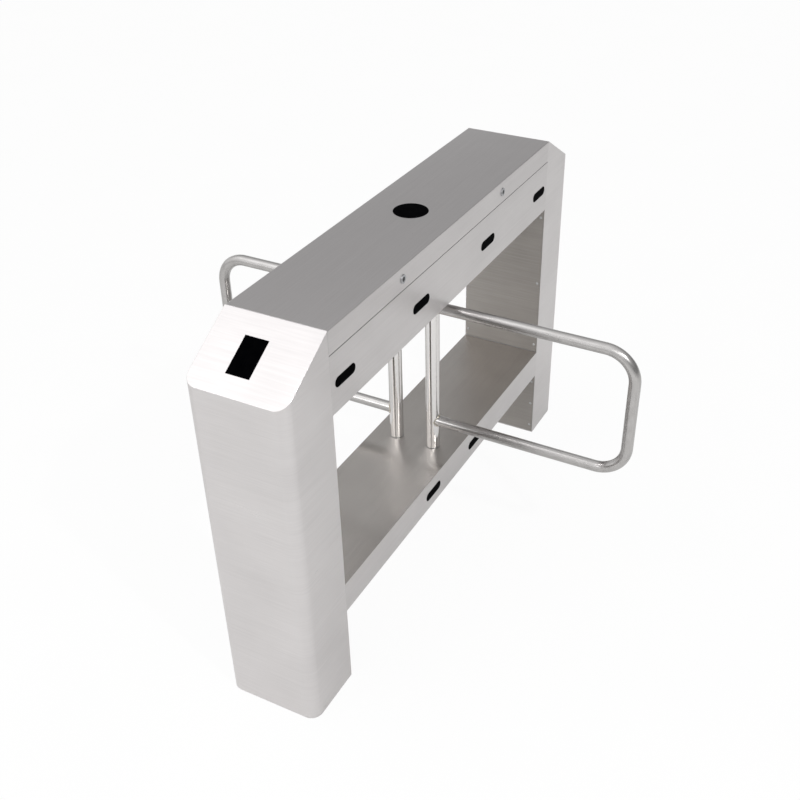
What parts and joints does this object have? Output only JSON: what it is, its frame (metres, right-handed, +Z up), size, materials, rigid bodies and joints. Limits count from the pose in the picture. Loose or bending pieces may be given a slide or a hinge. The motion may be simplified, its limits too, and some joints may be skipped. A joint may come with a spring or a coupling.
{
  "type": "swing barrier",
  "caption": "Bridge-type pedestrian swing barrier: sloped legs carry a beam and a rail, and posts between them swing U-shaped tube arms to both sides.",
  "frame": {"origin": "on the floor, at the centre of the housing", "axes": "+X along the housing, +Y across it along the back arm, +Z up"},
  "size_m": [1.51, 1.236, 1.0006],
  "materials": {
    "brushed_steel": "straight brushed stainless sheet",
    "shelf_steel": "brushed stainless sheet, a little duller",
    "tube_steel": "polished stainless tube",
    "zinc_plate": "zinc-plated steel",
    "fasteners": "zinc-plated",
    "hinge_steel": "brushed stainless",
    "gasket_rubber": "matt black",
    "black_window": "gloss black acrylic",
    "circuit_board": "lacquered circuit board",
    "dark_plastic": "moulded ABS",
    "gearbox_metal": "machined",
    "motor_can": "black powder coat",
    "cast_bearing": "cast, machined faces",
    "supply_case": "folded sheet",
    "terminal_plastic": "moulded polyamide",
    "duct_plastic": "extruded PVC",
    "cable_jacket": "black PVC jacket",
    "lock_chrome": "chrome-plated zinc",
    "shaft_steel": "turned steel",
    "gear_steel": "machined steel"
  },
  "bodies": {
    "housing": {"near_leg_casing": "brushed_steel", "far_leg_casing": "brushed_steel", "near_base_plate": "zinc_plate", "far_base_plate": "zinc_plate", "near_access_panels": "brushed_steel", "far_access_panels": "brushed_steel", "panel_screws": "fasteners", "joint_brackets": "zinc_plate", "bracket_bolts": "fasteners", "beam_trough": "brushed_steel", "lid_gasket": "gasket_rubber", "lower_rail": "brushed_steel", "shelf_plate": "shelf_steel", "front_sensor_windows": "black_window", "back_sensor_windows": "black_window", "sensor_boards": "circuit_board", "near_reader_window": "black_window", "far_reader_window": "black_window", "near_card_reader": "dark_plastic", "far_card_reader": "dark_plastic", "drive_base_plate": "zinc_plate", "drive_top_plate": "zinc_plate", "plate_standoffs": "fasteners", "stop_buffers": "gasket_rubber", "front_gearbox": "gearbox_metal", "back_gearbox": "gearbox_metal", "front_motor": "motor_can", "back_motor": "motor_can", "front_bearings": "cast_bearing", "back_bearings": "cast_bearing", "foot_bearing_plate": "zinc_plate", "control_board": "circuit_board", "power_supply": "supply_case", "terminal_strip": "terminal_plastic", "cable_duct": "duct_plastic", "link_cable": "cable_jacket", "body_hinge_leaf": "hinge_steel", "lock_keepers": "zinc_plate"},
    "front_arm": {"front_post": "tube_steel", "front_arm_tube": "tube_steel", "front_top_shaft": "shaft_steel", "front_foot_shaft": "shaft_steel", "front_drive_gear": "gear_steel", "front_stop_lever": "shaft_steel"},
    "back_arm": {"back_post": "tube_steel", "back_arm_tube": "tube_steel", "back_top_shaft": "shaft_steel", "back_foot_shaft": "shaft_steel", "back_drive_gear": "gear_steel", "back_stop_lever": "shaft_steel"},
    "front_pinion": {"front_pinion": "gear_steel"},
    "back_pinion": {"back_pinion": "gear_steel"},
    "lid": {"lid_cover": "brushed_steel", "lid_hinge_leaf": "hinge_steel", "indicator_window": "black_window", "indicator_cup": "dark_plastic", "indicator_board": "circuit_board", "lock_barrels": "lock_chrome"},
    "left_lock": {"left_lock": "lock_chrome"},
    "right_lock": {"right_lock": "lock_chrome"}
  },
  "joints": [
    {"name": "front_arm_swing", "type": "hinge", "parent": "housing", "child": "front_arm", "pos_m": [0, -0.057, 0.5], "axis": [0, 0, 1], "range_deg": [-90, 90]},
    {"name": "back_arm_swing", "type": "hinge", "parent": "housing", "child": "back_arm", "pos_m": [0, 0.057, 0.5], "axis": [0, 0, 1], "range_deg": [-90, 90]},
    {"name": "front_pinion_spin", "type": "hinge", "parent": "housing", "child": "front_pinion", "pos_m": [-0.06, -0.057, 0.85], "axis": [0, 0, 1], "range_deg": [-271, 271]},
    {"name": "back_pinion_spin", "type": "hinge", "parent": "housing", "child": "back_pinion", "pos_m": [0.06, 0.057, 0.85], "axis": [0, 0, 1], "range_deg": [-271, 271]},
    {"name": "lid_hinge", "type": "hinge", "parent": "housing", "child": "lid", "pos_m": [0, 0.1283, 0.94025], "axis": [-1, 0, 0], "range_deg": [0, 95]},
    {"name": "left_lock_turn", "type": "hinge", "parent": "lid", "child": "left_lock", "pos_m": [-0.272, -0.125, 0.969], "axis": [0, -1, 0], "range_deg": [0, 90]},
    {"name": "right_lock_turn", "type": "hinge", "parent": "lid", "child": "right_lock", "pos_m": [0.272, -0.125, 0.969], "axis": [0, -1, 0], "range_deg": [0, 90]}
  ],
  "couplings": [
    {"joint": "front_pinion_spin", "follows": "front_arm_swing", "ratio": -3},
    {"joint": "back_pinion_spin", "follows": "back_arm_swing", "ratio": -3}
  ]
}
